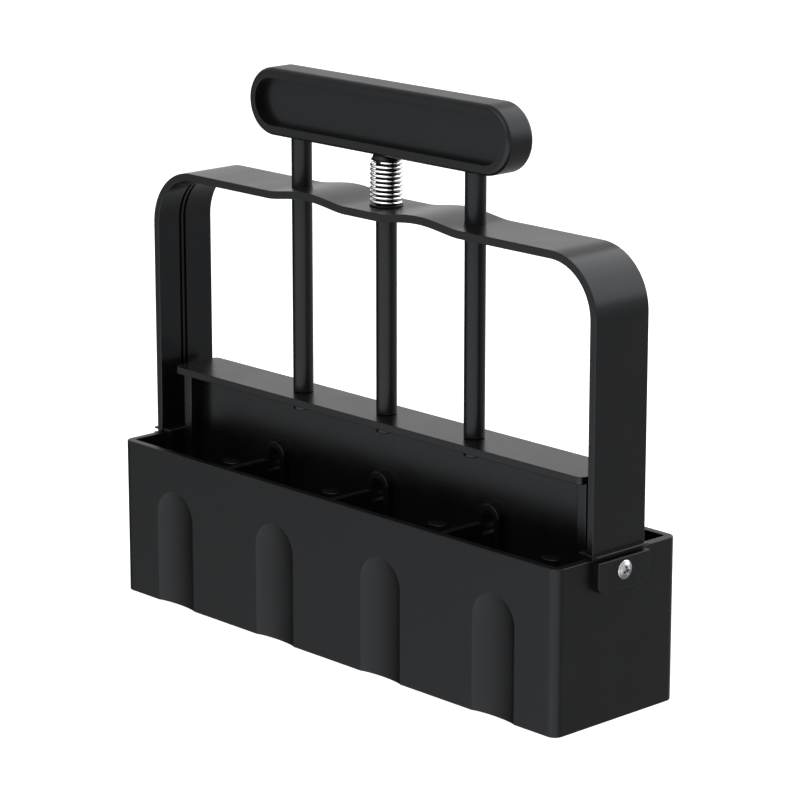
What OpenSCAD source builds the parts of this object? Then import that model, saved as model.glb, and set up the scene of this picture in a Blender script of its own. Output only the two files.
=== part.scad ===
// Hand soil blocker with four cells in a row.
// X runs along the row, -Y is the fluted front, +Z is up.
// The origin is at the middle of the cutting edge that the box stands on. Sizes are millimetres.

/* [Mould box] */
// Inside length and width of one square cell
cell_size = 50.8; // [44:0.2:60]
// Thickness of the outer walls
wall_t = 3; // [2.6:0.1:4]
// Thickness of the dividers between the cells
divider_t = 3; // [2:0.1:4]
// Height from the cutting edge to the rim
box_h = 56.7; // [50:0.1:70]
// Radius of the upright outer corners
corner_r = 3.3; // [1:0.1:6]
// Room under the arches of the press beam when it is right down
notch_clear = 2.6; // [1:0.1:4]
// Room on each side of the arches in the notch of a divider
notch_side_clear = 4; // [1:0.05:6]

/* [Flutes] */
// Width of one flute on the wall
flute_w = 19.5; // [12:0.1:30]
// Depth of one flute at its middle
flute_depth = 1.3; // [0.6:0.1:1.6]
// Distance from the rim down to the top of the flute's arch
flute_drop = 14.1; // [10:0.1:25]

/* [End bosses and screws] */
// Width of the boss on each end wall
boss_w = 24; // [18:0.1:30]
// Height of the boss
boss_h = 10.55; // [9:0.05:14]
// How far the boss stands out of the wall
boss_t = 2.9; // [1.5:0.1:4]
// Distance from the rim down to the top of the boss
boss_drop = 0.65; // [0.3:0.05:2]
// Radius of the lower corners of the boss
boss_r = 3; // [1:0.1:5]
// Distance from the rim down to the screw
screw_drop = 4.9; // [4:0.1:6]
// Diameter of the screw's shank
screw_d = 3.5; // [2.5:0.1:4.5]
// Diameter of the screw's head
screw_head_d = 6.4; // [5:0.1:8]
// Height of the screw's head
screw_head_h = 1.3; // [1.1:0.1:2.4]
// Length of the screw under its head
screw_l = 8.4; // [8:0.1:8.7]
// Radial room round the shank in the box and in the foot
screw_clear = 0.1; // [0.05:0.05:0.4]

/* [Frame] */
// Width of the frame's strap
strap_w = 24.5; // [18:0.1:30]
// Thickness of the frame's strap
strap_t = 2.8; // [2:0.1:3]
// How far the outer faces of the legs stand out past the end walls
leg_out = 0.3; // [0:0.05:0.5]
// Height of the cross bar's top above the rim
frame_rise = 98.3; // [80:0.1:130]
// Outer radius of the two upper bends
bend_r = 20.5; // [10:0.1:30]
// Distance from the middle to the middle of each hump
hump_x = 27.7; // [26:0.1:36]
// Length of a hump
hump_l = 38; // [26:0.5:50]
// Height of a hump
hump_h = 1.9; // [1:0.05:3]
// Width of each of the two grooves down the inner face of a leg
groove_w = 1.1; // [0.6:0.1:1.4]
// Distance between the middles of the two grooves
groove_pitch = 2; // [1.6:0.1:4]
// How far the pair lies towards the front
groove_shift = 1.3; // [0:0.1:4]
// Depth of the grooves
groove_depth = 1; // [0.5:0.1:1.6]
// Height above the rim at which the grooves start
groove_start = 23.3; // [22:0.1:40]
// Angle that the grooves follow round the upper bend
groove_turn = 50; // [10:5:80]

/* [Frame feet] */
// Thickness of the foot that lies on the rim
foot_t = 1.5; // [0.8:0.1:2]
// How far the ledge at the foot stands out past the leg
ledge = 1.8; // [0.5:0.1:2.4]
// Width of the ledge
ledge_w = 24.9; // [18:0.1:30]
// Thickness of the ledge
ledge_t = 0.7; // [0.4:0.05:0.8]
// Width of the foot inside the box
foot_plate_w = 23.6; // [20:0.1:34]
// Thickness of the plate that hangs inside the end wall
foot_plate_t = 3.4; // [2.8:0.1:4]
// How far that plate reaches down from the rim
foot_plate_drop = 11.2; // [9:0.1:14]
// Room between that plate and the end wall
foot_clear = 0.1; // [0.05:0.05:0.3]

/* [Press beam] */
// Width of the top flange
flange_w = 20.4; // [14:0.1:24]
// Thickness of the top flange
flange_t = 2.6; // [2:0.1:4]
// Height of the flange's top above the rim
flange_rise = 25.55; // [22:0.05:36]
// Corner radius of the flange
flange_r = 2; // [0.5:0.1:4]
// Room along X between the ends of the flange and the frame's foot plates
flange_end_clear = 0.8; // [0.4:0.1:3]
// Thickness of the web
web_t = 3.3; // [2:0.1:4.5]
// Thickness of the rib across each end of the web
end_rib_t = 4.1; // [2:0.1:6]
// Width of that rib
end_rib_w = 13.3; // [8:0.1:18]
// How far that rib stands inside the end of the flange
end_rib_inset = 1; // [0.2:0.1:3]
// Room on each side of a divider in the arch above it
arch_clear = 1.3; // [0.6:0.05:3]
// Thickness of the band round an arch
arch_band = 2.4; // [1.5:0.1:4]
// How far the band stands out of the middle of the web
arch_reach = 4.5; // [3:0.05:7]
// Height of the arch's centre above the rim
arch_rise = 0.3; // [0:0.1:4]

/* [Press plates and seed pins] */
// Room between a press plate and its cell
plate_clear = 0.5; // [0.3:0.05:1.5]
// Thickness of a press plate
plate_t = 3; // [2:0.1:5]
// Corner radius of a press plate
plate_r = 1; // [0.3:0.1:3]
// Gap between the outer plates and the feet that stop them at the top
stop_gap = 0.3; // [0.2:0.05:0.6]
// Diameter of a seed pin
pin_d = 8; // [6:0.1:12]
// Length of a seed pin below its plate
pin_l = 12; // [8:0.5:18]
// Diameter of a seed pin's stud
stud_d = 4; // [3:0.1:5]
// Depth of the stud in the beam
stud_l = 3; // [2.5:0.1:6]
// Diameter of the boss on the web that takes the stud
stud_boss_d = 9; // [7:0.1:12]
// Wall above the stud's hole
stud_cap = 0.7; // [0.5:0.1:4]

/* [Rods] */
// Diameter of a rod
rod_d = 7.2; // [6.2:0.05:8]
// Distance between two rods
rod_pitch = 42.8; // [40:0.1:50]
// Diameter of the thinner ends of a rod
spigot_d = 5; // [4:0.1:5.4]
// Depth of the lower end in the beam
spigot_l = 5.5; // [4:0.1:7]
// Depth of the upper end in the handle
top_spigot_l = 2.6; // [1.5:0.1:2.8]
// Wall below the hole for the lower end
spigot_cap = 0.5; // [0.4:0.1:2]
// Radial room between the rods and the holes in the cross bar
rod_clear = 0.08; // [0.05:0.01:0.1]
// Radial room between a thin end and its hole
seat_clear = 0.05; // [0.02:0.01:0.1]
// Room past the end of each pin, stud or screw in its hole
end_room = 0.3; // [0.2:0.05:0.5]

/* [Handle] */
// Length of the handle
handle_l = 127.5; // [110:0.5:150]
// Height of the handle
handle_h = 23.7; // [20:0.1:30]
// Depth of the handle from front to back
handle_t = 12; // [10:0.1:16]
// Rounding of the handle's edges
handle_edge_r = 1.6; // [0.5:0.1:1.6]
// Width of the border round the recess at the two ends
border_end = 3.5; // [2:0.1:5]
// Width of the border above and below the recess
border_side = 3.55; // [3.4:0.05:5]
// Depth of the recess in the front
recess_depth = 3.6; // [1.5:0.1:4]
// Height of the handle's lower edge above the cross bar
handle_gap = 17.8; // [17.2:0.1:24]

/* [Spring] */
// Outer diameter of the spring
spring_od = 11.2; // [10.6:0.1:13]
// Diameter of the spring's wire
spring_wire = 1; // [0.7:0.05:1]
// Number of coils
spring_coils = 9; // [7:1:9]
// Thickness of the washer under the spring
washer_t = 0.6; // [0.4:0.1:1.2]
// Diameter of that washer
washer_d = 11.5; // [11.3:0.1:14]
// Thickness of the collar above the spring
collar_t = 2; // [1:0.1:2.1]
// Diameter of the collar where the spring presses on it
collar_low_d = 10.6; // [10:0.1:12]
// Diameter of the collar where it meets the handle
collar_top_d = 8.4; // [8:0.1:10]
// Radial room round the rod in the washer
washer_clear = 0.3; // [0.2:0.05:0.6]
// How far the handle goes down
travel = 4.8; // [3:0.1:4.8]

/* [Hidden] */
$fn = 64;

cells = 4;
over = 1; // how far a cutter reaches past the face that it cuts
black = [0.09, 0.09, 0.1];
dark = [0.05, 0.05, 0.05];
steel = [0.8, 0.8, 0.82];

// Box
cell_pitch = cell_size + divider_t;
box_l = cells * cell_size + (cells - 1) * divider_t + 2 * wall_t;
box_w = cell_size + 2 * wall_t;
end_x = box_l / 2;
cell_x = [for (i = [0:cells - 1]) (i - (cells - 1) / 2) * cell_pitch];
divider_x = [for (i = [1:cells - 1]) (i - cells / 2) * cell_pitch];
screw_z = box_h - screw_drop;
flute_r = (flute_w * flute_w / 4 + flute_depth * flute_depth) / (2 * flute_depth);
flute_arch_z = box_h - flute_drop - flute_w / 2;

// Frame
leg_x = end_x + leg_out;
bar_top = box_h + frame_rise;
bend_x = leg_x - bend_r;
bend_z = bar_top - bend_r;
foot_out_x = end_x - wall_t - foot_clear;
foot_in_x = foot_out_x - foot_plate_t;
rod_x = [-rod_pitch, 0, rod_pitch];
hump_steps = 20;
hump_fullness = 0.75; // under 1 it widens the top of a hump

// Press beam, at rest against the top stop
plate_top = box_h - foot_plate_drop - stop_gap;
plate_z = plate_top - plate_t;
plate_w = cell_size - 2 * plate_clear;
flange_top = box_h + flange_rise;
flange_z = flange_top - flange_t;
beam_half = foot_in_x - flange_end_clear;
end_rib_x = beam_half - end_rib_inset - end_rib_t;
web_half = end_rib_x + end_rib_t / 2;
arch_r = divider_t / 2 + arch_clear;
arch_z = box_h + arch_rise;
stud_boss_h = stud_l + end_room + stud_cap;
rod_boss_h = spigot_l + end_room + spigot_cap - flange_t;
notch_z = arch_z + arch_r - travel - notch_clear;
notch_w = 2 * (arch_reach + notch_side_clear);

// Handle
handle_z = bar_top + handle_gap;
handle_mid_z = handle_z + handle_h / 2;
recess_l = handle_l - 2 * border_end;
recess_h = handle_h - 2 * border_side;

// Spring, as one tube with 8 rings to a coil and 6 sides
spring_z = bar_top + washer_t;
spring_top = handle_z - collar_t;
spring_r = (spring_od - spring_wire) / 2;
spring_pitch = (spring_top - spring_z - 2 * spring_wire) / spring_coils;
coil_rings = 8;
tube_sides = 6;
spring_steps = spring_coils * coil_rings;

// ---- plane shapes and helpers ----

// A rectangle with round corners, centred
module round_rect(w, h, r) {
    square([w - 2 * r, h], center = true);
    square([w, h - 2 * r], center = true);
    for (x = [-1, 1], y = [-1, 1])
        translate([x * (w / 2 - r), y * (h / 2 - r)])
            circle(r);
}

// A bar with half-round ends, centred
module stadium(l, h) {
    square([l - h, h], center = true);
    for (x = [-1, 1])
        translate([x * (l - h) / 2, 0])
            circle(h / 2);
}

// A plane shape drawn in X and Z, made thick along Y and centred on it
module along_y(t) {
    rotate([90, 0, 0])
        linear_extrude(t, center = true)
            children();
}

// A plane shape drawn in Y and Z, made thick towards +X
module along_x(t) {
    rotate([90, 0, 90])
        linear_extrude(t)
            children();
}

// Both ends of the part: the children as drawn, and mirrored
module both_ends() {
    children();
    mirror([1, 0, 0])
        children();
}

// ---- mould box ----

module boss_plan() {
    translate([-boss_w / 2, boss_r])
        square([boss_w, boss_h - boss_r]);
    translate([boss_r - boss_w / 2, 0])
        square([boss_w - 2 * boss_r, boss_h]);
    for (y = [-1, 1])
        translate([y * (boss_w / 2 - boss_r), boss_r])
            circle(boss_r);
}

// A round-ended cut of constant depth into a wall at y = -box_w / 2
module flute_cut(x) {
    translate([x, -box_w / 2 - flute_r + flute_depth, 0]) {
        translate([0, 0, -over])
            cylinder(h = flute_arch_z + over, r = flute_r, $fn = 96);
        translate([0, 0, flute_arch_z])
            sphere(r = flute_r, $fn = 96);
    }
}

module mould_box() {
    color(black)
        difference() {
            union() {
                linear_extrude(box_h)
                    round_rect(box_l, box_w, corner_r);
                both_ends()
                    translate([end_x - wall_t / 2, 0, box_h - boss_drop - boss_h])
                        along_x(wall_t / 2 + boss_t)
                            boss_plan();
            }
            for (x = cell_x)
                translate([x - cell_size / 2, -cell_size / 2, -over])
                    cube([cell_size, cell_size, box_h + 2 * over]);
            for (x = divider_x)
                translate([x - divider_t / 2 - over, -notch_w / 2, notch_z])
                    cube([divider_t + 2 * over, notch_w, box_h - notch_z + over]);
            for (x = cell_x) {
                flute_cut(x);
                mirror([0, 1, 0])
                    flute_cut(x);
            }
            both_ends()
                translate([end_x - wall_t - over, 0, screw_z])
                    rotate([0, 90, 0])
                        cylinder(h = wall_t + boss_t + 2 * over, r = screw_d / 2 + screw_clear);
        }
}

// ---- frame ----

// How far x lies from the middle of the nearest hump, from 0 to 1 at the hump's end
function from_hump(x) = min(1, abs(abs(x) - hump_x) / (hump_l / 2));
// Height of the cross bar's line at x over its flat stretches
function hump_rise(x) = hump_h * pow((1 + cos(180 * from_hump(x))) / 2, hump_fullness);

// Places along the cross bar where its line bends, from the left bend to the right one
bar_x = concat(
    [-bend_x],
    [for (side = [-1, 1], k = [0:hump_steps]) side * hump_x + (k / hump_steps - 0.5) * hump_l],
    [bend_x]
);

module bar_profile() {
    top = [for (x = bar_x) [x, bar_top + hump_rise(x)]];
    under = [for (i = [len(bar_x) - 1:-1:0]) [bar_x[i], bar_top - strap_t + hump_rise(bar_x[i])]];
    polygon(concat(top, under));
}

// Quarter ring of the upper right bend, between two radii
module bend_profile(r_in, r_out) {
    translate([bend_x, bend_z])
        intersection() {
            difference() {
                circle(r_out, $fn = 96);
                circle(r_in, $fn = 96);
            }
            square(r_out + over);
        }
}

// A groove follows the leg's inner face and the first part of the bend
module groove_profile() {
    r_in = bend_r - strap_t;
    translate([leg_x - strap_t - over, box_h + groove_start])
        square([groove_depth + over, bend_z - box_h - groove_start]);
    intersection() {
        bend_profile(r_in - over, r_in + groove_depth);
        translate([bend_x, bend_z])
            polygon([[0, 0], [2 * bend_r, 0], 2 * bend_r * [cos(groove_turn), sin(groove_turn)]]);
    }
}

module frame_foot() {
    translate([foot_in_x, -foot_plate_w / 2, box_h])
        cube([leg_x - strap_t / 2 - foot_in_x, foot_plate_w, foot_t]);
    translate([leg_x - strap_t, -ledge_w / 2, box_h + foot_t - ledge_t])
        cube([strap_t + ledge, ledge_w, ledge_t]);
    translate([foot_in_x, -foot_plate_w / 2, box_h - foot_plate_drop])
        cube([foot_plate_t, foot_plate_w, foot_plate_drop + foot_t]);
}

module frame() {
    color(black)
        difference() {
            union() {
                along_y(strap_w)
                    bar_profile();
                both_ends() {
                    along_y(strap_w)
                        bend_profile(bend_r - strap_t, bend_r);
                    translate([leg_x - strap_t, -strap_w / 2, box_h])
                        cube([strap_t, strap_w, bend_z - box_h]);
                    frame_foot();
                }
            }
            for (x = rod_x)
                translate([x, 0, bar_top - strap_t - over])
                    cylinder(h = strap_t + hump_h + 2 * over, r = rod_d / 2 + rod_clear);
            both_ends() {
                for (side = [-1, 1])
                    translate([0, side * groove_pitch / 2 - groove_shift, 0])
                        along_y(groove_w)
                            groove_profile();
                translate([end_x + boss_t - screw_l - end_room, 0, screw_z])
                    rotate([0, 90, 0])
                        cylinder(h = screw_l, r = screw_d / 2 + screw_clear);
            }
        }
}

// ---- screws ----

// Pan head with a cross recess. The head's seat is at x = 0 and the shank points to -X.
module pan_screw() {
    slot_w = screw_head_d / 7;
    slot_l = screw_head_d * 0.55;
    tip = screw_d / 2;
    dome_r = screw_head_d * 0.75;
    color(steel)
        rotate([0, 90, 0])
            difference() {
                union() {
                    intersection() {
                        cylinder(h = screw_head_h, d = screw_head_d);
                        translate([0, 0, screw_head_h - dome_r])
                            sphere(r = dome_r);
                    }
                    translate([0, 0, tip - screw_l])
                        cylinder(h = screw_l - tip, d = screw_d);
                    translate([0, 0, -screw_l])
                        cylinder(h = tip, d1 = screw_d / 2, d2 = screw_d);
                }
                for (a = [0, 90])
                    rotate([0, 0, a + 45])
                        translate([-slot_l / 2, -slot_w / 2, screw_head_h / 3])
                            cube([slot_l, slot_w, screw_head_h]);
            }
}

module foot_screw_right() {
    translate([end_x + boss_t, 0, screw_z])
        pan_screw();
}

module foot_screw_left() {
    mirror([1, 0, 0])
        foot_screw_right();
}

// ---- spring and its seats ----

module spring_washer() {
    color(dark)
        translate([0, 0, bar_top])
            difference() {
                cylinder(h = washer_t, d = washer_d);
                translate([0, 0, -over])
                    cylinder(h = washer_t + 2 * over, r = rod_d / 2 + washer_clear);
            }
}

module spring_collar() {
    color(dark)
        translate([0, 0, spring_top])
            difference() {
                cylinder(h = collar_t, d1 = collar_low_d, d2 = collar_top_d);
                translate([0, 0, -over])
                    cylinder(h = collar_t + 2 * over, r = rod_d / 2 + seat_clear);
            }
}

function radial(a) = [cos(a), sin(a), 0];
function tangent(a) = [-sin(a), cos(a), 0];

// Middle of the wire at ring i of the helix
function coil_point(i) =
    let (a = i * 360 / coil_rings)
    spring_r * radial(a) + [0, 0, spring_z + spring_wire + spring_pitch * i / coil_rings];

// One ring of the tube round point p. side is the ring's second direction.
function tube_ring(p, a, side) =
    [for (k = [0:tube_sides - 1])
        let (b = k * 360 / tube_sides)
        p + spring_wire / 2 * (cos(b) * radial(a) + sin(b) * side)];

// The tube stands square on its seat for one wire diameter, turns into the coils, and ends the same way
function spring_rings() =
    let (down = [0, 0, -1], last = spring_steps * 360 / coil_rings)
    concat(
        tube_ring([spring_r, 0, spring_z], 0, tangent(0)),
        tube_ring(coil_point(0), 0, tangent(0) + down),
        [for (i = [1:spring_steps - 1]) each tube_ring(coil_point(i), i * 360 / coil_rings, down)],
        tube_ring(coil_point(spring_steps), last, tangent(last) + down),
        tube_ring(spring_r * radial(last) + [0, 0, spring_top], last, tangent(last))
    );

// Triangles between the rings, and a fan over each end
function tube_faces(rings) = concat(
    [for (k = [1:tube_sides - 2]) [0, k, k + 1]],
    [for (r = [0:rings - 2], k = [0:tube_sides - 1])
        let (a = r * tube_sides, n = (k + 1) % tube_sides)
        each [[a + k, a + tube_sides + k, a + n],
              [a + n, a + tube_sides + k, a + tube_sides + n]]],
    [for (k = [1:tube_sides - 2])
        let (a = (rings - 1) * tube_sides)
        [a, a + k + 1, a + k]]
);

// Least room between wires, over all ring middles that are half a coil or more apart
spring_gap = min([for (i = [0:spring_steps], j = [i + coil_rings / 2:1:spring_steps])
    norm(coil_point(i) - coil_point(j)) - spring_wire]);

module spring() {
    echo(least_gap_in_spring = spring_gap);
    color(steel)
        mirror([0, 1, 0]) // wound left-handed
            polyhedron(spring_rings(), tube_faces(spring_steps + 3));
}

// ---- handle and rods ----

// Cross section of the handle in Y and Z
module handle_section() {
    round_rect(handle_t, handle_h, handle_edge_r);
}

// Half-round end of the handle at +X, turned about the Y axis
module handle_end() {
    translate([(handle_l - handle_h) / 2, 0, 0])
        rotate([90, 0, 0])
            rotate([0, 0, -90])
                rotate_extrude(angle = 180)
                    intersection() {
                        round_rect(handle_h, handle_t, handle_edge_r);
                        translate([0, -handle_t / 2])
                            square([handle_h / 2, handle_t]);
                    }
}

module handle() {
    straight = handle_l - handle_h;
    color(black)
        difference() {
            translate([0, 0, handle_mid_z]) {
                translate([-straight / 2, 0, 0])
                    along_x(straight)
                        handle_section();
                both_ends()
                    handle_end();
            }
            translate([0, recess_depth - handle_t, handle_mid_z])
                along_y(handle_t)
                    stadium(recess_l, recess_h);
            for (x = rod_x)
                translate([x, 0, handle_z - over])
                    cylinder(h = top_spigot_l + end_room + over, r = spigot_d / 2 + seat_clear);
        }
}

module rod(x) {
    color(dark)
        translate([x, 0, 0]) {
            translate([0, 0, flange_top])
                cylinder(h = handle_z - flange_top, d = rod_d);
            translate([0, 0, flange_top - spigot_l])
                cylinder(h = handle_z + top_spigot_l - flange_top + spigot_l, d = spigot_d);
        }
}

// ---- press beam, plates and pins ----

// Round-topped shape over a divider, in X and Z, down to the height low_z
module arch_profile(x, r, low_z) {
    translate([x, arch_z])
        circle(r);
    translate([x - r, low_z])
        square([2 * r, arch_z - low_z]);
}

module press_beam() {
    color(black)
        difference() {
            union() {
                translate([0, 0, flange_z])
                    linear_extrude(flange_t)
                        round_rect(2 * beam_half, flange_w, flange_r);
                translate([-web_half, -web_t / 2, plate_top])
                    cube([2 * web_half, web_t, flange_z - plate_top + flange_t / 2]);
                both_ends()
                    translate([end_rib_x, -end_rib_w / 2, plate_top])
                        cube([end_rib_t, end_rib_w, flange_z - plate_top + flange_t / 2]);
                for (x = divider_x)
                    along_y(2 * arch_reach)
                        arch_profile(x, arch_r + arch_band, plate_top);
                for (x = cell_x)
                    translate([x, 0, plate_top])
                        cylinder(h = stud_boss_h, d = stud_boss_d);
                for (x = rod_x)
                    translate([x, 0, flange_z - rod_boss_h])
                        cylinder(h = rod_boss_h + flange_t / 2, d = rod_d);
            }
            for (x = divider_x)
                along_y(2 * arch_reach + 2 * over)
                    arch_profile(x, arch_r, plate_top - over);
            for (x = cell_x)
                translate([x, 0, plate_top - over])
                    cylinder(h = stud_l + end_room + over, r = stud_d / 2 + seat_clear);
            for (x = rod_x)
                translate([x, 0, flange_top - spigot_l - end_room])
                    cylinder(h = spigot_l + end_room + over, r = spigot_d / 2 + seat_clear);
        }
}

module press_plate(i) {
    color(black)
        translate([cell_x[i], 0, plate_z])
            difference() {
                linear_extrude(plate_t)
                    round_rect(plate_w, plate_w, plate_r);
                translate([0, 0, -over])
                    cylinder(h = plate_t + 2 * over, r = stud_d / 2 + seat_clear);
            }
}

// A blunt round-nosed pin under the plate, with a stud up through it into the beam
module seed_pin(i) {
    color(black)
        translate([cell_x[i], 0, plate_z]) {
            translate([0, 0, pin_d / 2 - pin_l])
                cylinder(h = pin_l - pin_d / 2, d = pin_d);
            translate([0, 0, pin_d / 2 - pin_l])
                sphere(d = pin_d);
            cylinder(h = plate_t + stud_l, d = stud_d);
        }
}

mould_box();
frame();
foot_screw_left();
foot_screw_right();
spring_washer();
spring();
handle();
rod(rod_x[0]);  // rod_left
rod(rod_x[1]);  // rod_centre
rod(rod_x[2]);  // rod_right
spring_collar();
press_beam();
press_plate(0);  // press_plate_1
press_plate(1);  // press_plate_2
press_plate(2);  // press_plate_3
press_plate(3);  // press_plate_4
seed_pin(0);  // seed_pin_1
seed_pin(1);  // seed_pin_2
seed_pin(2);  // seed_pin_3
seed_pin(3);  // seed_pin_4
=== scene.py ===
"""Looks of the four-cell soil blocker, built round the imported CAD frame.

X runs along the row of cells, -Y is the fluted front, +Z is up. Shapes are drawn in millimetres.
"""
import math

import bmesh
import bpy
from mathutils import Matrix, Vector


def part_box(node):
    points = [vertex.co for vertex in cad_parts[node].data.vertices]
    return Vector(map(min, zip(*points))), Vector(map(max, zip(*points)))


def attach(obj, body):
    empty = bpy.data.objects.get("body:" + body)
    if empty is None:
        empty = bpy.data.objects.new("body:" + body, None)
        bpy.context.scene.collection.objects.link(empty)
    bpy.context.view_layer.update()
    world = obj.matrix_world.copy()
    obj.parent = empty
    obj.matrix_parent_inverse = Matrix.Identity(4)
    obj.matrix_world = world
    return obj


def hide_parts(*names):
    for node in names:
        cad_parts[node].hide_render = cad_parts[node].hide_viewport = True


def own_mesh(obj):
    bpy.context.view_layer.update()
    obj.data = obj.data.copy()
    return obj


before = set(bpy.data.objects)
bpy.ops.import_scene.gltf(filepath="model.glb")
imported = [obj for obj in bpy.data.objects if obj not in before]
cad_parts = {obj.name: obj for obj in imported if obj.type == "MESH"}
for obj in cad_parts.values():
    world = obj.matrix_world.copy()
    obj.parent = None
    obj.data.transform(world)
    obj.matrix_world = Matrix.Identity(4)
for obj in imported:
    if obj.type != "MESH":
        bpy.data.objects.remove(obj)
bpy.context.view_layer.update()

MM = 0.001


def node_box(name):
    """Lowest and highest corner of a CAD node, in millimetres."""
    low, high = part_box(name)
    return [c / MM for c in low], [c / MM for c in high]


# ---------------------------------------------------------------- sizes, in millimetres

# Places that come from the frame
box_low, box_high = node_box("mould_box")
frame_low, frame_high = node_box("frame")
handle_low, handle_high = node_box("handle")
beam_low, beam_high = node_box("press_beam")
spring_low, spring_high = node_box("spring")
washer_low, washer_high = node_box("spring_washer")
collar_low, collar_high = node_box("spring_collar")
plate_low, plate_high = node_box("press_plate_1")
pin_low, pin_high = node_box("seed_pin_1")
rods = {name: node_box(name) for name in ("rod_left", "rod_centre", "rod_right")}

# Mould box
CELL = 50.8
WALL = 3.0
DIVIDER = 3.0
CELLS = 4
CORNER_R = 3.3
RIM = box_high[2]
BOX_L = CELLS * CELL + (CELLS - 1) * DIVIDER + 2 * WALL
END_X = BOX_L / 2
BOX_W = CELL + 2 * WALL
CELL_X = [(i - (CELLS - 1) / 2) * (CELL + DIVIDER) for i in range(CELLS)]
DIVIDER_X = [(i - CELLS / 2) * (CELL + DIVIDER) for i in range(1, CELLS)]
NOTCH_W = 17.0
NOTCH_DEPTH = 4.3
RIM_ROUND = 0.45
FOOT_ROUND = 0.35
CELL_CORNER_R = 0.8
CELL_RIM_ROUND = 0.3
BOX_CORNER_STEPS = 8

# Flutes: an arched cut with a steeper border
FLUTE_W = 19.5
FLUTE_DEPTH = 1.3
FLUTE_TOP = RIM - 14.1
FLUTE_EDGE_SHARE = 0.22
FLUTE_EDGE_POWER = 10
FLUTE_COLUMNS = 14  # on each side of its middle
FLUTE_ROWS = 18  # over the height of its arch
LANE_COLUMNS = 6  # between a flute and the edge of its cell
HAIR = 0.01  # a step too small to see

# End bosses and screws
BOSS_W = 24.0
BOSS_H = 10.55
BOSS_T = box_high[0] - END_X
BOSS_DROP = 0.65
BOSS_R = 3.0
BOSS_ROUND = 0.4
SCREW_Z = RIM - 4.9
SCREW_HEAD_D = 6.4
SCREW_HEAD_H = 1.3
SCREW_D = 3.5
SCREW_L = 8.4
SCREW_CLEAR = 0.1
CROSS_ARM = 1.05
CROSS_REACH = 4.2
CROSS_FLOOR = 0.3
CROSS_TURN = 20

# Frame
STRAP_W = 24.5
STRAP_T = 2.8
STRAP_ROUND = 0.3
BEND_R = 20.5
LEG_OUT = 0.3
LEG_X = END_X + LEG_OUT
HUMP_X = 27.7
HUMP_HALF = 19.0
HUMP_FULLNESS = 0.75
HUMP_H = 1.9
BAR_TOP = frame_high[2] - HUMP_H
GROOVE_Y = (-2.3, -0.3)
GROOVE_W = 1.1
GROOVE_DEPTH = 1.0
GROOVE_START = RIM + 23.3
GROOVE_TURN = 50
FOOT_T = 1.5
LEDGE = frame_high[0] - LEG_X
LEDGE_T = 0.7
LEDGE_W = frame_high[1] - frame_low[1]
LEDGE_CORNER_R = 0.6
FOOT_PLATE_W = 23.6
FOOT_PLATE_T = 3.4
FOOT_CORNER_R = 0.5
FOOT_CLEAR = 0.1
FOOT_EDGE = 0.3
FOOT_OUT_X = END_X - WALL - FOOT_CLEAR
FOOT_IN_X = FOOT_OUT_X - FOOT_PLATE_T
FOOT_PLATE_LOW = frame_low[2]

# Press beam
FLANGE_HALF = beam_high[0]
FLANGE_W = beam_high[1] - beam_low[1]
FLANGE_TOP = beam_high[2]
FLANGE_T = 2.6
FLANGE_R = 2.0
PLATE_TOP = beam_low[2]
WEB_T = 3.3
END_RIB_T = 4.1
END_RIB_W = 13.3
END_RIB_R = 0.4
END_RIB_INSET = 1.0
END_RIB_X = FLANGE_HALF - END_RIB_INSET - END_RIB_T
WEB_HALF = END_RIB_X + END_RIB_T / 2
ARCH_R = 2.8
ARCH_BAND = 2.4
ARCH_REACH = 4.5
ARCH_Z = RIM + 0.3
STUD_BOSS_D = 9.0
STUD_BOSS_H = 4.0
ROD_BOSS_H = 3.7
BEAM_ROUND = 0.25
BOSS_EDGE = 0.3
ARCH_EDGE = 0.2

# Rods, handle and spring
ROD_D = rods["rod_centre"][1][1] * 2
ROD_X = [sum(r[i][0] for i in (0, 1)) / 2 for r in rods.values()]
ROD_HOLE_CLEAR = 0.08
ROD_THIN_R = 2.5
ROD_SHOULDER = 0.3
ROD_LOW_EDGE = 0.4
HANDLE_L = handle_high[0] - handle_low[0]
HANDLE_H = handle_high[2] - handle_low[2]
HANDLE_T = handle_high[1] - handle_low[1]
HANDLE_Z = handle_low[2]
HANDLE_ROUND = 1.6
BORDER_END = 3.5
BORDER_SIDE = 3.55
RECESS_DEPTH = 3.6
SPRING_WIRE = 1.04
SPRING_OD = spring_high[1] - spring_low[1]
SPRING_TURNS = 9.34
SPRING_START = 58.5  # angle of the wire's lower end, wound left-handed from there
SPRING_STEPS = 40  # in each turn
SPRING_SIDES = 14
SPRING_TIP = 0.55  # size of the wire at its tips, which grows to full over a few steps
SPRING_TIP_GROWTH = 0.15
WASHER_CLEAR = 0.3
WASHER_EDGE = 0.15
COLLAR_CLEAR = 0.05
COLLAR_TOP_R = 4.2

# Press plates and seed pins
PLATE_CORNER_R = 1.0
PLATE_EDGE = 0.35
PIN_EDGE = 0.3
STUD_R = 2.0

CAP_ROUND_STEPS = 4
OVER = 1.0  # how far a cutter reaches past the face that it cuts


# ---------------------------------------------------------------- plane outlines, counter-clockwise


def arc(cx, cy, r, start, end, steps):
    """Points of an arc, both ends included. Angles are in degrees."""
    return [
        (cx + r * math.cos(math.radians(start + (end - start) * k / steps)),
         cy + r * math.sin(math.radians(start + (end - start) * k / steps)))
        for k in range(steps + 1)
    ]


def rounded_rectangle(w, h, r, cx=0.0, cy=0.0, steps=6):
    x, y = w / 2 - r, h / 2 - r
    return (arc(cx + x, cy - y, r, -90, 0, steps) + arc(cx + x, cy + y, r, 0, 90, steps)
            + arc(cx - x, cy + y, r, 90, 180, steps) + arc(cx - x, cy - y, r, 180, 270, steps))


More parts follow.
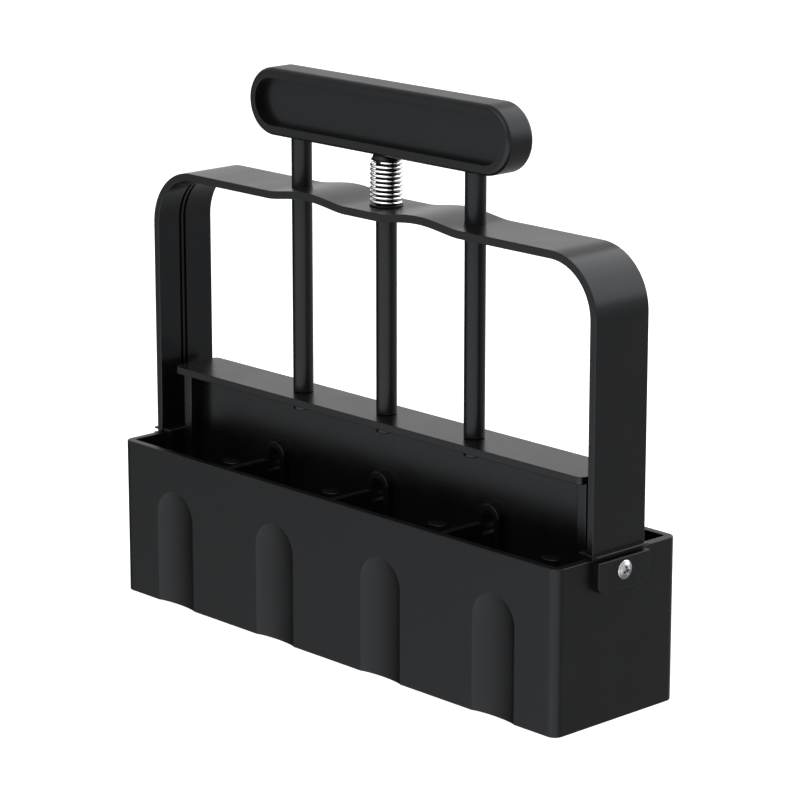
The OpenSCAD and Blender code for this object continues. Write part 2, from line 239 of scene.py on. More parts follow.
def stadium(length, h, cx, cy, steps=24):
    x = (length - h) / 2
    return (arc(cx + x, cy, h / 2, -90, 90, steps) + arc(cx - x, cy, h / 2, 90, 270, steps))


def circle(cx, cy, r, steps=48):
    return arc(cx, cy, r, 0, 360 - 360 / steps, steps - 1)


def arch(cx, low, top_z, r, steps=20):
    """Round-topped shape that stands on the height low."""
    return [(cx - r, low), (cx + r, low)] + arc(cx, top_z, r, 0, 180, steps)


def inset(outline, distance):
    """The outline moved inwards by a distance, corners mitred."""
    if not distance:
        return outline
    moved = []
    count = len(outline)
    for i, point in enumerate(outline):
        before, here, after = (Vector(outline[j % count]) for j in (i - 1, i, i + 1))
        d0, d1 = (here - before).normalized(), (after - here).normalized()
        n0, n1 = Vector((-d0.y, d0.x)), Vector((-d1.y, d1.x))
        moved.append(here + (n0 + n1) * (distance / max(0.2, 1 + n0.dot(n1))))
    return [(p.x, p.y) for p in moved]


# ---------------------------------------------------------------- solids

PLANES = {
    "XY": lambda u, v, w: (u, v, w),
    "XZ": lambda u, v, w: (u, w, v),
    "YZ": lambda u, v, w: (w, u, v),
}


def add_object(name, points, faces):
    """A mesh object from points in millimetres, with its normals outwards."""
    mesh = bpy.data.meshes.new(name)
    mesh.from_pydata([Vector(p) * MM for p in points], [], faces)
    edit = bmesh.new()
    edit.from_mesh(mesh)
    bmesh.ops.remove_doubles(edit, verts=edit.verts, dist=1e-7)
    bmesh.ops.recalc_face_normals(edit, faces=edit.faces)
    edit.to_mesh(mesh)
    edit.free()
    obj = bpy.data.objects.new(name, mesh)
    bpy.context.scene.collection.objects.link(obj)
    return obj


def loft(name, rings, capped=True):
    """A skin over rings of equal length, with a face over each end."""
    n = len(rings[0])
    points = [p for ring in rings for p in ring]
    faces = [
        (r * n + k, r * n + (k + 1) % n, (r + 1) * n + (k + 1) % n, (r + 1) * n + k)
        for r in range(len(rings) - 1)
        for k in range(n)
    ]
    if capped:
        faces += [tuple(range(n)), tuple(range(len(points) - n, len(points)))]
    return add_object(name, points, faces)


def rounded_end(w, r, side, steps=CAP_ROUND_STEPS):
    """Levels (place, inset) of a rounded edge at the end w.

    side is 1 at the low end and -1 at the high end.
    """
    if r == 0:
        return [(w, 0.0)]
    turns = [math.pi / 2 * (1 - k / steps) for k in range(steps + 1)]
    return [(w + side * r * (1 - math.sin(t)), r * (1 - math.cos(t))) for t in turns]


def flared_end(w, r, side, steps=CAP_ROUND_STEPS):
    """Levels of a cutter that rounds the rim of its hole at w, and reaches past it."""
    levels = [(p, -i) for p, i in rounded_end(w, r, side, steps)]
    return [(w - side * OVER, -r)] + levels


def stack(name, outline, plane, low_levels, high_levels):
    levels = low_levels + high_levels[::-1]
    place = PLANES[plane]
    rings = [[place(u, v, w) for u, v in inset(outline, i)] for w, i in levels]
    return loft(name, rings)


def slab(name, outline, plane, low, high, r=0.0):
    """The outline made thick from low to high, with both ends' edges rounded."""
    return stack(name, outline, plane, rounded_end(low, r, 1), rounded_end(high, r, -1))


def through_cut(outline, plane, low, high, r=0.0):
    """A cutter that goes right through from low to high and rounds both rims."""
    return stack("cut", outline, plane, flared_end(low, r, 1), flared_end(high, r, -1))


def turned(profile, steps, x=0.0):
    """Rings of points round an upright axis at x. profile holds (radius, height)."""
    turns = [2 * math.pi * k / steps for k in range(steps)]
    return [[(x + r * math.cos(t), r * math.sin(t), z) for t in turns] for r, z in profile]


def lathe(name, profile, steps=48, x=0.0):
    """A solid turned round an upright axis, closed flat at both ends of its profile."""
    return loft(name, turned(profile, steps, x))


def ring_solid(name, profile, steps=64):
    """A turned ring. profile is a closed loop of (radius, height)."""
    return loft(name, turned(profile + profile[:1], steps), capped=False)


def bake_modifiers(obj):
    bpy.context.view_layer.update()
    evaluated = obj.evaluated_get(bpy.context.evaluated_depsgraph_get())
    mesh = bpy.data.meshes.new_from_object(evaluated)
    obj.modifiers.clear()
    obj.data = mesh


def combine(target, tool, operation):
    modifier = target.modifiers.new("combine", "BOOLEAN")
    modifier.operation = operation
    modifier.solver = "EXACT"
    modifier.object = tool
    bake_modifiers(target)
    bpy.data.objects.remove(tool)
    return target


def add(target, *tools):
    for tool in tools:
        combine(target, tool, "UNION")
    return target


def cut(target, *tools):
    for tool in tools:
        combine(target, tool, "DIFFERENCE")
    return target


def mirrored(obj, name=None):
    """A copy of the object on the other side of x = 0."""
    copy = obj.copy()
    copy.data = obj.data.copy()
    copy.data.transform(Matrix.Scale(-1, 4, (1, 0, 0)))
    copy.data.flip_normals()
    copy.name = name or obj.name
    bpy.context.scene.collection.objects.link(copy)
    return copy


def both_sides(obj):
    return [obj, mirrored(obj)]


def dress(obj, name, material, body, nodes, crease=32):
    """Smooth shading with crisp creases, the material, the body that it rides on, and its CAD nodes."""
    obj.name = name
    mesh = obj.data
    edit = bmesh.new()
    edit.from_mesh(mesh)
    bmesh.ops.remove_doubles(edit, verts=edit.verts, dist=2e-6)
    bmesh.ops.dissolve_degenerate(edit, edges=edit.edges, dist=1e-7)
    edit.to_mesh(mesh)
    edit.free()
    mesh.shade_smooth()
    mesh.set_sharp_from_angle(angle=math.radians(crease))
    modifier = obj.modifiers.new("normals", "WEIGHTED_NORMAL")
    modifier.keep_sharp = True
    modifier.weight = 80
    mesh.materials.clear()
    mesh.materials.append(material)
    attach(obj, body)
    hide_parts(*nodes)
    return obj


# ---------------------------------------------------------------- materials


class Nodes:
    """Short calls for building a material's node tree."""

    def __init__(self, name):
        self.material = bpy.data.materials.new(name)
        self.material.use_nodes = True
        self.tree = self.material.node_tree
        self.shader = self.tree.nodes["Principled BSDF"]
        self.coords = self.add("ShaderNodeTexCoord").outputs["Object"]

    def add(self, kind, **values):
        node = self.tree.nodes.new(kind)
        for key, value in values.items():
            setattr(node, key, value)
        return node

    def link(self, source, target):
        self.tree.links.new(source, target)

    def noise(self, size, detail=2.0, roughness=0.5):
        """Noise whose features are about this size in millimetres."""
        node = self.add("ShaderNodeTexNoise")
        node.inputs["Scale"].default_value = 1 / (size * MM)
        node.inputs["Detail"].default_value = detail
        node.inputs["Roughness"].default_value = roughness
        self.link(self.coords, node.inputs["Vector"])
        return node.outputs["Fac"]

    def spread(self, source, low, high, start=0.3, end=0.7):
        """The source's values from start to end, mapped to low to high."""
        node = self.add("ShaderNodeMapRange")
        for key, value in (("From Min", start), ("From Max", end), ("To Min", low), ("To Max", high)):
            node.inputs[key].default_value = value
        self.link(source, node.inputs["Value"])
        return node.outputs["Result"]

    def mix(self, share, first, second):
        node = self.add("ShaderNodeMix", data_type="RGBA")
        node.inputs["A"].default_value = (*first, 1)
        node.inputs["B"].default_value = (*second, 1)
        self.link(share, node.inputs["Factor"])
        return node.outputs["Result"]

    def bump(self, height, distance, strength, below=None):
        node = self.add("ShaderNodeBump")
        node.inputs["Distance"].default_value = distance * MM
        node.inputs["Strength"].default_value = strength
        self.link(height, node.inputs["Height"])
        if below:
            self.link(below, node.inputs["Normal"])
        return node.outputs["Normal"]


COOL_TINT = (0.9, 0.945, 1.0, 1)
GLOSS_SPREAD = 0.025
TONE_SHARES = (0.8, 1.25)
CLOUD_SIZE = 18
SPECK_SIZE = 1.1
SPECK_DEPTH = 0.006
GRAIN_SIZE = 0.35
GRAIN_DEPTH = 0.008
ROD_TONES = (0.003, 0.003, 0.0034), (0.005, 0.005, 0.0054)
ROD_LINE_SIZE = 0.25
ROD_CLOUD_SIZE = 6
ROD_ROUGHNESS = (0.28, 0.36)
ROD_IOR = 1.275
# how far the fine marks move the edge of the painted shade on the underside
STEEL_MARKS_IN_PAINTED_SHADE = 0.3
STEEL_PAINTED_SHADE_RAMP = (-0.25, 0.25)  # the normal's height over which the bright tone turns to the darker painted shade tone underneath


def moulded_black(name, tone, roughness, ior, grain=GRAIN_SIZE):
    """Satin black moulding: a fine spark-eroded grain, faint flow clouds and a slight change of gloss."""
    n = Nodes(name)
    clouds = n.noise(CLOUD_SIZE, 3)
    fine = n.noise(grain, 2)
    specks = n.noise(SPECK_SIZE, 2)
    dark, light = ([c * share for c in tone] for share in TONE_SHARES)
    n.link(n.mix(n.spread(clouds, 0, 1), dark, light), n.shader.inputs["Base Color"])
    gloss = n.spread(clouds, roughness - GLOSS_SPREAD, roughness + GLOSS_SPREAD)
    n.link(gloss, n.shader.inputs["Roughness"])
    coarse = n.bump(specks, SPECK_DEPTH, 0.1)
    n.link(n.bump(fine, GRAIN_DEPTH, 0.15, below=coarse), n.shader.inputs["Normal"])
    n.shader.inputs["IOR"].default_value = ior
    n.shader.inputs["Specular Tint"].default_value = COOL_TINT
    return n.material


def coated_rod(name):
    """Black coated rod: glossier than the mouldings, with faint draw lines along it."""
    n = Nodes(name)
    stretch = n.add("ShaderNodeMapping")
    stretch.inputs["Scale"].default_value = (1, 1, 0.02)
    n.link(n.coords, stretch.inputs["Vector"])
    n.coords = stretch.outputs["Vector"]
    lines = n.noise(ROD_LINE_SIZE, 2)
    clouds = n.noise(ROD_CLOUD_SIZE, 2)
    n.link(n.mix(n.spread(clouds, 0, 1), *ROD_TONES), n.shader.inputs["Base Color"])
    n.link(n.spread(lines, *ROD_ROUGHNESS), n.shader.inputs["Roughness"])
    n.link(n.bump(lines, 0.004, 0.15), n.shader.inputs["Normal"])
    n.shader.inputs["IOR"].default_value = ROD_IOR
    n.shader.inputs["Specular Tint"].default_value = COOL_TINT
    return n.material


def bright_steel(name, tone, painted_shade_tone, low, high, scale):
    """Bright wire or plated screw: mirror-like metal with fine marks, and painted shade: the colour turns
    darker where the normal points down, so the underside is painted darker.
    """
    n = Nodes(name)
    marks = n.noise(scale, 3)
    axes = n.add("ShaderNodeSeparateXYZ")
    n.link(n.add("ShaderNodeNewGeometry").outputs["Normal"], axes.inputs["Vector"])
    # painted shade: the base colour goes from the bright tone to the darker tone as the normal turns
    # downwards, and the marks break up the edge
    marks_and_painted_shade = n.add("ShaderNodeMath", operation="MULTIPLY_ADD")
    marks_and_painted_shade.inputs[1].default_value = STEEL_MARKS_IN_PAINTED_SHADE
    n.link(marks, marks_and_painted_shade.inputs[0])
    n.link(axes.outputs["Z"], marks_and_painted_shade.inputs[2])
    n.link(n.mix(n.spread(marks_and_painted_shade.outputs["Value"], 0, 1, *STEEL_PAINTED_SHADE_RAMP), painted_shade_tone, tone),
           n.shader.inputs["Base Color"])
    n.link(n.spread(marks, low, high), n.shader.inputs["Roughness"])
    n.link(n.bump(marks, 0.006, 0.1), n.shader.inputs["Normal"])
    n.shader.inputs["Metallic"].default_value = 1.0
    return n.material


BLACK = (0.0025, 0.0025, 0.0027)
MATT_BLACK = (0.003, 0.003, 0.0033)
box_black = moulded_black("box_black", BLACK, 0.38, 1.283)
frame_black = moulded_black("frame_black", BLACK, 0.27, 1.295)
handle_black = moulded_black("handle_black", BLACK, 0.36, 1.3)
beam_black = moulded_black("beam_black", BLACK, 0.28, 1.305)
plate_black = moulded_black("plate_black", BLACK, 0.3, 1.3)
seat_black = moulded_black("seat_black", MATT_BLACK, 0.4, 1.3)
rod_black = coated_rod("rod_black")
# the second colour of each is painted shade, the darker tone that the underside is painted in
spring_bright = bright_steel("spring_bright", (0.82, 0.82, 0.84), (0.1, 0.1, 0.11), 0.1, 0.18, 0.8)
screw_bright = bright_steel("screw_bright", (0.42, 0.42, 0.44), (0.2, 0.2, 0.21), 0.18, 0.3, 0.5)


# ---------------------------------------------------------------- mould box


def flute_depth_at(share):
    """Depth of a flute at a share of its half width from its middle line."""
    s = min(1.0, abs(share))
    return FLUTE_DEPTH * (1 - (1 - FLUTE_EDGE_SHARE) * s ** 2 - FLUTE_EDGE_SHARE * s ** FLUTE_EDGE_POWER)


def box_outline(z):
    """The box's outline at a height, with as many points at every height.

    The columns of each flute follow the sides of its arch, so that its border is a clean line.
    """
    half = FLUTE_W / 2
    arch_z = FLUTE_TOP - half
    rise = min(half, max(0.0, z - arch_z))
    narrow = math.sqrt(max(0.0, half ** 2 - rise ** 2)) if z < FLUTE_TOP else half
    shares = [math.sin(math.pi / 2 * k / FLUTE_COLUMNS) for k in range(-FLUTE_COLUMNS, FLUTE_COLUMNS + 1)]
    lane = LANE_COLUMNS
    wall = []
    for centre in CELL_X:
        left = centre - (CELL + DIVIDER) / 2
        left = max(left, -BOX_L / 2 + CORNER_R)
        right = min(centre + (CELL + DIVIDER) / 2, BOX_L / 2 - CORNER_R)
        for k in range(lane):
            wall.append((left + (centre - narrow - left) * k / lane, 0.0))
        for s in shares:
            reach = math.hypot(s * narrow, rise) / half
            depth = flute_depth_at(reach) if z < FLUTE_TOP else 0.0
            wall.append((centre + s * narrow, depth))
        for k in range(1, lane):
            wall.append((centre + narrow + (right - centre - narrow) * k / lane, 0.0))
    y = BOX_W / 2
    front = [(x, -y + d) for x, d in wall]
    back = [(-x, y - d) for x, d in wall]
    cx, cy = BOX_L / 2 - CORNER_R, BOX_W / 2 - CORNER_R
    corners = [arc(x, y, CORNER_R, start, start + 90, BOX_CORNER_STEPS)
               for x, y, start in ((cx, -cy, -90), (cx, cy, 0), (-cx, cy, 90), (-cx, -cy, 180))]
    return front + corners[0] + corners[1][:-1] + back + corners[2] + corners[3][:-1]


def make_mould_box():
    half = FLUTE_W / 2
    arch_z = FLUTE_TOP - half
    climb = [arch_z + half * math.sin(math.pi / 2 * k / FLUTE_ROWS) for k in range(FLUTE_ROWS)]
    heights = [arch_z / 2] + climb + [FLUTE_TOP - HAIR, FLUTE_TOP + HAIR, FLUTE_TOP + 3]
    levels = rounded_end(0.0, FOOT_ROUND, 1) + [(z, 0.0) for z in heights]
    levels += rounded_end(RIM, RIM_ROUND, -1)[::-1]
    rings = [[(x, y, w) for x, y in inset(box_outline(w), i)] for w, i in levels]
    box = loft("mould_box", rings)

    boss_z = RIM - BOSS_DROP - BOSS_H
    boss = ([(-BOSS_W / 2, boss_z + BOSS_H), (-BOSS_W / 2, boss_z + BOSS_R)]
            + arc(BOSS_R - BOSS_W / 2, boss_z + BOSS_R, BOSS_R, 180, 270, 8)[1:]
            + arc(BOSS_W / 2 - BOSS_R, boss_z + BOSS_R, BOSS_R, 270, 360, 8)
            + [(BOSS_W / 2, boss_z + BOSS_H)])
    add(box, *both_sides(stack("boss", boss, "YZ", [(END_X - WALL / 2, 0.0)],
                               rounded_end(END_X + BOSS_T, BOSS_ROUND, -1))))

    for x in CELL_X:
        cell = rounded_rectangle(CELL, CELL, CELL_CORNER_R, x, 0, 4)
        cut(box, through_cut(cell, "XY", 0.0, RIM, CELL_RIM_ROUND))
    for x in DIVIDER_X:
        notch = [(-NOTCH_W / 2, RIM - NOTCH_DEPTH), (NOTCH_W / 2, RIM - NOTCH_DEPTH),
                 (NOTCH_W / 2, RIM + OVER), (-NOTCH_W / 2, RIM + OVER)]
        cut(box, slab("cut", notch, "YZ", x - DIVIDER / 2 - OVER, x + DIVIDER / 2 + OVER))
    hole = circle(0, SCREW_Z, SCREW_D / 2 + SCREW_CLEAR, 32)
    cut(box, *both_sides(through_cut(hole, "YZ", END_X - WALL, END_X + BOSS_T)))
    return dress(box, "mould_box_shell", box_black, "mould", ["mould_box"], crease=14)


# ---------------------------------------------------------------- frame


def hump_rise(x):
    share = min(1.0, abs(abs(x) - HUMP_X) / HUMP_HALF)
    return HUMP_H * ((1 + math.cos(math.pi * share)) / 2) ** HUMP_FULLNESS


def strap_outline():
    """The inverted U in X and Z, counter-clockwise from the foot of the right leg's outer face."""
    bend_x, bend_z = LEG_X - BEND_R, BAR_TOP - BEND_R
    steps = 120
    along = [bend_x - 2 * bend_x * k / steps for k in range(1, steps)]
    inner_r = BEND_R - STRAP_T
    outer = [(LEG_X, RIM)] + arc(bend_x, bend_z, BEND_R, 0, 90, 24)
    outer += [(x, BAR_TOP + hump_rise(x)) for x in along]
    outer += arc(-bend_x, bend_z, BEND_R, 90, 180, 24) + [(-LEG_X, RIM)]
    inner = [(-LEG_X + STRAP_T, RIM)] + arc(-bend_x, bend_z, inner_r, 180, 90, 24)
    inner += [(x, BAR_TOP - STRAP_T + hump_rise(x)) for x in along[::-1]]
    inner += arc(bend_x, bend_z, inner_r, 90, 0, 24) + [(LEG_X - STRAP_T, RIM)]
    return outer + inner


def groove_outline():
    """The groove down the right leg's inner face and round the first part of the bend, in X and Z."""
    bend_x, bend_z = LEG_X - BEND_R, BAR_TOP - BEND_R
    inner_r = BEND_R - STRAP_T
    deep = arc(bend_x, bend_z, inner_r + GROOVE_DEPTH, 0, GROOVE_TURN, 16)
    shallow = arc(bend_x, bend_z, inner_r - OVER, GROOVE_TURN, 0, 16)
    return ([(LEG_X - STRAP_T - OVER, GROOVE_START), (LEG_X - STRAP_T + GROOVE_DEPTH, GROOVE_START)]
            + deep + shallow)


def make_frame():
    strap = slab("frame", strap_outline(), "XZ", -STRAP_W / 2, STRAP_W / 2, STRAP_ROUND)
    ledge_mid = (LEG_X - STRAP_T + LEG_X + LEDGE) / 2
    ledge = rounded_rectangle(STRAP_T + LEDGE, LEDGE_W, LEDGE_CORNER_R, ledge_mid, 0)
    leg_mid = LEG_X - STRAP_T / 2
    inside, plate = (
        rounded_rectangle(out_x - FOOT_IN_X, FOOT_PLATE_W, FOOT_CORNER_R, (out_x + FOOT_IN_X) / 2, 0)
        for out_x in (leg_mid, FOOT_OUT_X))
    for part in (
        slab("ledge", ledge, "XY", RIM + FOOT_T - LEDGE_T, RIM + FOOT_T, FOOT_EDGE),
        slab("foot", inside, "XY", RIM, RIM + FOOT_T, FOOT_EDGE),
        slab("plate", plate, "XY", FOOT_PLATE_LOW, RIM + FOOT_T, FOOT_EDGE),
    ):
        add(strap, *both_sides(part))
    for y in GROOVE_Y:
        cut(strap, *both_sides(slab("cut", groove_outline(), "XZ", y - GROOVE_W / 2, y + GROOVE_W / 2)))
    for x in ROD_X:
        hole = circle(x, 0, ROD_D / 2 + ROD_HOLE_CLEAR)
        cut(strap, slab("cut", hole, "XY", BAR_TOP - STRAP_T - OVER, BAR_TOP + HUMP_H + OVER))
    hole = circle(0, SCREW_Z, SCREW_D / 2 + SCREW_CLEAR, 32)
    hole_end = END_X + BOSS_T - SCREW_L - 0.3
    cut(strap, *both_sides(slab("cut", hole, "YZ", hole_end, FOOT_OUT_X + OVER)))
    return dress(strap, "frame_bow", frame_black, "mould", ["frame"])


# ---------------------------------------------------------------- screws


def make_screw():
    """Pan head with a cross recess, at the right end of the part."""
    dome_r = SCREW_HEAD_D * 0.75
    top = [(dome_r * math.sin(t), SCREW_HEAD_H - HAIR - dome_r + dome_r * math.cos(t))
           for t in (math.radians(a) for a in (0.5, 5, 10, 15, 20, 24, 28, 32))]
    edge = [(SCREW_HEAD_D / 2 - inwards, z)
            for inwards, z in ((0.3, 0.46), (0.08, 0.36), (0.0, 0.24), (0.0, 0.1), (0.08, 0.0))]
    shank = [(SCREW_D / 2, 0.0), (SCREW_D / 2, SCREW_D / 2 - SCREW_L), (SCREW_D / 4, -SCREW_L)]
    screw = lathe("screw", top + edge + shank)
    low = rounded_rectangle(CROSS_REACH * 0.45, CROSS_ARM * 0.55, 0.12)
    high = rounded_rectangle(CROSS_REACH, CROSS_ARM, 0.2)
    for turn in (0, 90):
        rings = [[(x, y, CROSS_FLOOR) for x, y in low], [(x, y, SCREW_HEAD_H + 0.2) for x, y in high]]
        tool = loft("cut", rings)
        tool.data.transform(Matrix.Rotation(math.radians(turn + CROSS_TURN), 4, "Z"))
        cut(screw, tool)
    seat = Matrix.Translation(Vector((END_X + BOSS_T, 0, SCREW_Z)) * MM)
    screw.data.transform(seat @ Matrix.Rotation(math.radians(90), 4, "Y"))
    return screw


def make_screws():
    right = make_screw()
    left = mirrored(right, "left")
    dress(right, "foot_screw_right_head", screw_bright, "mould", ["foot_screw_right"])
    dress(left, "foot_screw_left_head", screw_bright, "mould", ["foot_screw_left"])


# ---------------------------------------------------------------- spring and its seats


def make_spring():
    r = (SPRING_OD - SPRING_WIRE) / 2
    low = spring_low[2] + SPRING_WIRE / 2
    high = spring_high[2] - SPRING_WIRE / 2
    steps = int(SPRING_TURNS * SPRING_STEPS)
    rings = []
    for i in range(steps + 1):
        share = i / steps
        a = math.radians(SPRING_START) - 2 * math.pi * SPRING_TURNS * share
        out = Vector((math.cos(a), math.sin(a), 0))
        middle = out * r + Vector((0, 0, low + (high - low) * share))
        end = min(i, steps - i)
        size = SPRING_WIRE / 2 * min(1.0, SPRING_TIP + SPRING_TIP_GROWTH * end)
        rings.append([middle + size * (math.cos(b) * out + math.sin(b) * Vector((0, 0, 1)))
                      for b in (2 * math.pi * k / SPRING_SIDES for k in range(SPRING_SIDES))])
    spring = loft("spring", rings)
    dress(spring, "spring_coils", spring_bright, "mould", ["spring"], crease=60)
    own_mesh(spring)


def make_seats():
    r, edge = washer_high[0], WASHER_EDGE
    low, high = washer_low[2], washer_high[2]
    bore = ROD_D / 2 + WASHER_CLEAR
    washer = ring_solid("washer", [(bore, low), (r - edge, low), (r, low + edge), (r, high - edge),
                                   (r - edge, high), (bore + edge, high), (bore, high - edge)])
    dress(washer, "spring_washer_ring", seat_black, "mould", ["spring_washer"])
    low, high = collar_low[2], collar_high[2]
    r, top = collar_high[0], COLLAR_TOP_R
    bore = ROD_D / 2 + COLLAR_CLEAR
    collar = ring_solid("collar", [(bore, low), (r - 0.1, low), (r, low + 0.12), (r - 0.35, low + 0.35),
                                   (top + 0.2, high - 0.25), (top, high), (bore, high)])
    dress(collar, "spring_collar_cone", seat_black, "plunger", ["spring_collar"])


# ---------------------------------------------------------------- handle and rods


def make_handle():
    mid = HANDLE_Z + HANDLE_H / 2
    bar = stadium(HANDLE_L, HANDLE_H, 0, mid, 40)
    body = slab("handle", bar, "XZ", -HANDLE_T / 2, HANDLE_T / 2, HANDLE_ROUND)
    recess = stadium(HANDLE_L - 2 * BORDER_END, HANDLE_H - 2 * BORDER_SIDE, 0, mid, 32)
    front = -HANDLE_T / 2
    tool = stack("cut", recess, "XZ", flared_end(front, 0.0, 1), [(front + RECESS_DEPTH, 0.0)])
    cut(body, tool)
    return dress(body, "handle_bar", handle_black, "plunger", ["handle"])


def make_rods():
    for name, (low, high) in rods.items():
        x = (low[0] + high[0]) / 2
        r, thin, shoulder = ROD_D / 2, ROD_THIN_R, ROD_SHOULDER
        profile = [(thin - ROD_LOW_EDGE, low[2]), (thin, low[2] + ROD_LOW_EDGE), (thin, FLANGE_TOP),
                   (r - shoulder, FLANGE_TOP), (r, FLANGE_TOP + shoulder),
                   (r, HANDLE_Z - shoulder), (r - shoulder, HANDLE_Z),
                   (thin, HANDLE_Z), (thin, high[2] - shoulder), (thin - shoulder, high[2])]
        rod = lathe(name, profile, 64, x)
        dress(rod, name + "_bar", rod_black, "plunger", [name])


# ---------------------------------------------------------------- press beam, plates and pins


def make_beam():
    flange_low = FLANGE_TOP - FLANGE_T
    joined = flange_low + OVER
    flange = rounded_rectangle(2 * FLANGE_HALF, FLANGE_W, FLANGE_R)
    beam = slab("beam", flange, "XY", flange_low, FLANGE_TOP, BEAM_ROUND)
    web = [(-WEB_HALF, PLATE_TOP), (WEB_HALF, PLATE_TOP), (WEB_HALF, joined), (-WEB_HALF, joined)]
    add(beam, slab("web", web, "XZ", -WEB_T / 2, WEB_T / 2))
    end_rib = rounded_rectangle(END_RIB_T, END_RIB_W, END_RIB_R, END_RIB_X + END_RIB_T / 2, 0)
    add(beam, *both_sides(slab("end_rib", end_rib, "XY", PLATE_TOP, joined)))
    for x in DIVIDER_X:
        band = arch(x, PLATE_TOP, ARCH_Z, ARCH_R + ARCH_BAND, 28)
        add(beam, slab("band", band, "XZ", -ARCH_REACH, ARCH_REACH, BEAM_ROUND))
    for x in CELL_X:
        boss = circle(x, 0, STUD_BOSS_D / 2)
        add(beam, slab("boss", boss, "XY", PLATE_TOP, PLATE_TOP + STUD_BOSS_H, BOSS_EDGE))
    for x in ROD_X:
        boss = circle(x, 0, ROD_D / 2)
        add(beam, slab("boss", boss, "XY", flange_low - ROD_BOSS_H, joined, BOSS_EDGE))
    for x in DIVIDER_X:
        slot = arch(x, PLATE_TOP - OVER, ARCH_Z, ARCH_R, 24)
        cut(beam, through_cut(slot, "XZ", -ARCH_REACH, ARCH_REACH, ARCH_EDGE))
    return dress(beam, "press_beam_tee", beam_black, "plunger", ["press_beam"])


def make_plates_and_pins():
    width = plate_high[1] - plate_low[1]
    pin_r = pin_high[1]
    pin_top = plate_low[2]
    nose = [(pin_r * math.sin(t), pin_low[2] + pin_r * (1 - math.cos(t)))
            for t in (math.radians(a) for a in (2, 15, 30, 45, 60, 75, 90))]
    shoulder = [(pin_r, pin_top - PIN_EDGE), (pin_r - PIN_EDGE, pin_top)]
    stud = [(STUD_R, pin_top), (STUD_R, pin_high[2] - PIN_EDGE), (STUD_R - PIN_EDGE, pin_high[2])]
    for i, x in enumerate(CELL_X):
        number = i + 1
        outline = rounded_rectangle(width, width, PLATE_CORNER_R, x, 0)
        plate = slab("plate", outline, "XY", plate_low[2], plate_high[2], PLATE_EDGE)
        dress(plate, f"press_plate_{number}_pad", plate_black, "plunger",
              [f"press_plate_{number}"])
        pin = lathe("pin", nose + shoulder + stud, 40, x)
        dress(pin, f"seed_pin_{number}_nose", plate_black, "plunger",
              [f"seed_pin_{number}"])


# ---------------------------------------------------------------- stage, light and camera


# What the gloss mirrors: white above, greyer below, a soft light in front and a dark screen at the left.
# The ramps hold the start and end of each, as the cosine of the angle to its middle or to straight up.
LOW_LEVEL = 0.66
LOW_RAMP = (-0.2, 0.1)
FRONT_WAY = (0.35, -0.92, -0.17)
FRONT_RAMP = (0.1, 0.95)
FRONT_TOP_RAMP = (-0.2, 0.05)
FRONT_LEVEL = 2.3
SCREEN_WAY = (-0.97, -0.15, -0.2)
SCREEN_RAMP = (0.84, 0.94)
SCREEN_SHARE = 0.95
WORLD_LEVEL = 0.35

FLOOR_HALF = 12.0
FLOOR_TONE = 0.86
FLOOR_GLOW = 0.65

LAMP_TARGET = (0, 0, 0.08)
LAMPS = {
    "front": {"place": (0.3, -1.1, 1.15), "width": 2.0, "height": 1.2, "power": 16},
    "back": {"place": (0.38, 1.25, 0.85), "width": 2.1, "height": 1.6, "power": 21},
}

CAMERA_AZIMUTH = 46.626
CAMERA_ELEVATION = 14.614
CAMERA_PLACE = (0.8093, -0.7583, 0.37613)
CAMERA_LENS = 150.39
CAMERA_FILM = 36.0


def make_world():
    """White behind the object, a plain soft level as light, and the studio round it in its gloss."""
    world = bpy.data.worlds.new("studio")
    bpy.context.scene.world = world
    world.use_nodes = True
    tree = world.node_tree

    def value_of(kind, source, socket, **settings):
        node = tree.nodes.new(kind)
        for key, setting in settings.items():
            setattr(node, key, setting)
        tree.links.new(source, node.inputs[socket])
        return node

    def ramp(source, reach, low, high):
        node = value_of("ShaderNodeMapRange", source, "Value", interpolation_type="SMOOTHSTEP")
        ends = ("From Min", reach[0]), ("From Max", reach[1]), ("To Min", low), ("To Max", high)
        for key, setting in ends:
            node.inputs[key].default_value = setting
        return node.outputs["Result"]

    def join(operation, first, second):
        node = value_of("ShaderNodeMath", first, 0, operation=operation)
        tree.links.new(second, node.inputs[1])
        return node.outputs["Value"]

    def towards(way):
        node = value_of("ShaderNodeVectorMath", direction, 0, operation="DOT_PRODUCT")
        node.inputs[1].default_value = Vector(way).normalized()
        return node.outputs["Value"]

    direction = tree.nodes.new("ShaderNodeTexCoord").outputs["Generated"]
    height = towards((0, 0, 1))
    base = ramp(height, LOW_RAMP, LOW_LEVEL, 1.0)
    below = ramp(height, FRONT_TOP_RAMP, 1.0, 0.0)
    front = join("MULTIPLY", ramp(towards(FRONT_WAY), FRONT_RAMP, 0.0, FRONT_LEVEL), below)
    screen = ramp(towards(SCREEN_WAY), SCREEN_RAMP, 1.0, 1.0 - SCREEN_SHARE)
    mirrored_level = join("MULTIPLY", join("ADD", base, front), screen)
    path = tree.nodes.new("ShaderNodeLightPath")
    in_gloss = join("MULTIPLY", path.outputs["Is Glossy Ray"], mirrored_level)
    seen = join("MAXIMUM", path.outputs["Is Camera Ray"], in_gloss)
    elsewhere = ramp(path.outputs["Is Glossy Ray"], (0.0, 1.0), WORLD_LEVEL, 0.0)
    background = tree.nodes["Background"]
    background.inputs["Color"].default_value = (1, 1, 1, 1)
    tree.links.new(join("MAXIMUM", seen, elsewhere), background.inputs["Strength"])


def area_light(name, place, width, height, power):
    data = bpy.data.lights.new(name, "AREA")
    data.shape = "ELLIPSE"
    data.size = width
    data.size_y = height
    data.energy = power
    lamp = bpy.data.objects.new(name, data)
    lamp.location = place
    lamp.rotation_mode = "QUATERNION"
    lamp.rotation_quaternion = (Vector(LAMP_TARGET) - Vector(place)).to_track_quat("-Z", "Y")
    bpy.context.scene.collection.objects.link(lamp)


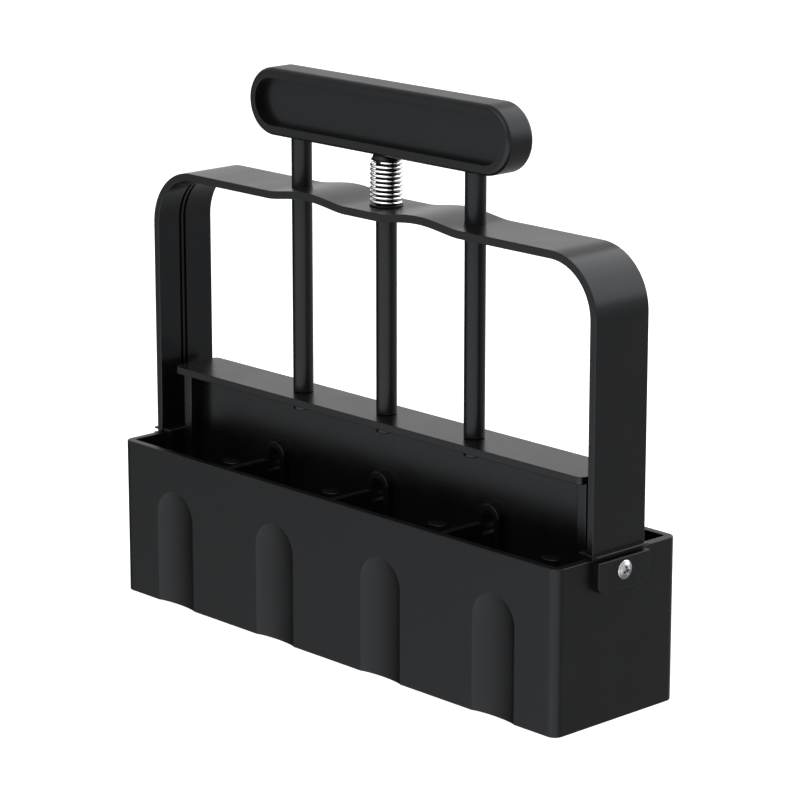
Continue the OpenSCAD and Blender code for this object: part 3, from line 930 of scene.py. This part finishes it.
def make_floor():
    """Pale floor that keeps the part's shadow.

    Gloss sees the studio through it, and from below it hides nothing.
    """
    h = FLOOR_HALF
    mesh = bpy.data.meshes.new("floor")
    mesh.from_pydata([(-h, -h, 0), (h, -h, 0), (h, h, 0), (-h, h, 0)], [], [(0, 1, 2, 3)])
    floor = bpy.data.objects.new("floor", mesh)
    bpy.context.scene.collection.objects.link(floor)
    n = Nodes("floor_white")
    n.shader.inputs["Base Color"].default_value = (FLOOR_TONE, FLOOR_TONE, FLOOR_TONE, 1)
    n.shader.inputs["Roughness"].default_value = 0.9
    n.shader.inputs["Specular IOR Level"].default_value = 0.0
    n.shader.inputs["Emission Color"].default_value = (1, 1, 1, 1)
    path = n.add("ShaderNodeLightPath")
    n.link(n.spread(path.outputs["Is Camera Ray"], 0.0, FLOOR_GLOW, 0, 1),
           n.shader.inputs["Emission Strength"])
    looked_through = n.add("ShaderNodeMath", operation="MAXIMUM")
    n.link(path.outputs["Is Glossy Ray"], looked_through.inputs[0])
    n.link(n.add("ShaderNodeNewGeometry").outputs["Backfacing"], looked_through.inputs[1])
    split = n.add("ShaderNodeMixShader")
    n.link(looked_through.outputs["Value"], split.inputs["Fac"])
    n.link(n.shader.outputs["BSDF"], split.inputs[1])
    n.link(n.add("ShaderNodeBsdfTransparent").outputs["BSDF"], split.inputs[2])
    n.link(split.outputs["Shader"], n.tree.nodes["Material Output"].inputs["Surface"])
    mesh.materials.append(n.material)


def make_camera():
    """The photograph's view: the lens and place that its straight edges give."""
    azimuth, elevation = math.radians(CAMERA_AZIMUTH), math.radians(CAMERA_ELEVATION)
    data = bpy.data.cameras.new("camera")
    data.sensor_width = CAMERA_FILM
    data.lens = CAMERA_LENS
    data.clip_start, data.clip_end = 0.05, 100
    camera = bpy.data.objects.new("camera", data)
    back = Vector((math.sin(azimuth) * math.cos(elevation), -math.cos(azimuth) * math.cos(elevation),
                   math.sin(elevation)))
    camera.location = CAMERA_PLACE
    camera.rotation_mode = "QUATERNION"
    camera.rotation_quaternion = (-back).to_track_quat("-Z", "Y")
    bpy.context.scene.collection.objects.link(camera)
    bpy.context.scene.camera = camera


make_mould_box()
make_frame()
make_screws()
make_spring()
make_seats()
make_handle()
make_rods()
make_beam()
make_plates_and_pins()

bpy.context.scene.view_settings.view_transform = "Standard"
make_world()
make_floor()
for lamp_name, lamp_values in LAMPS.items():
    area_light(lamp_name, **lamp_values)
make_camera()
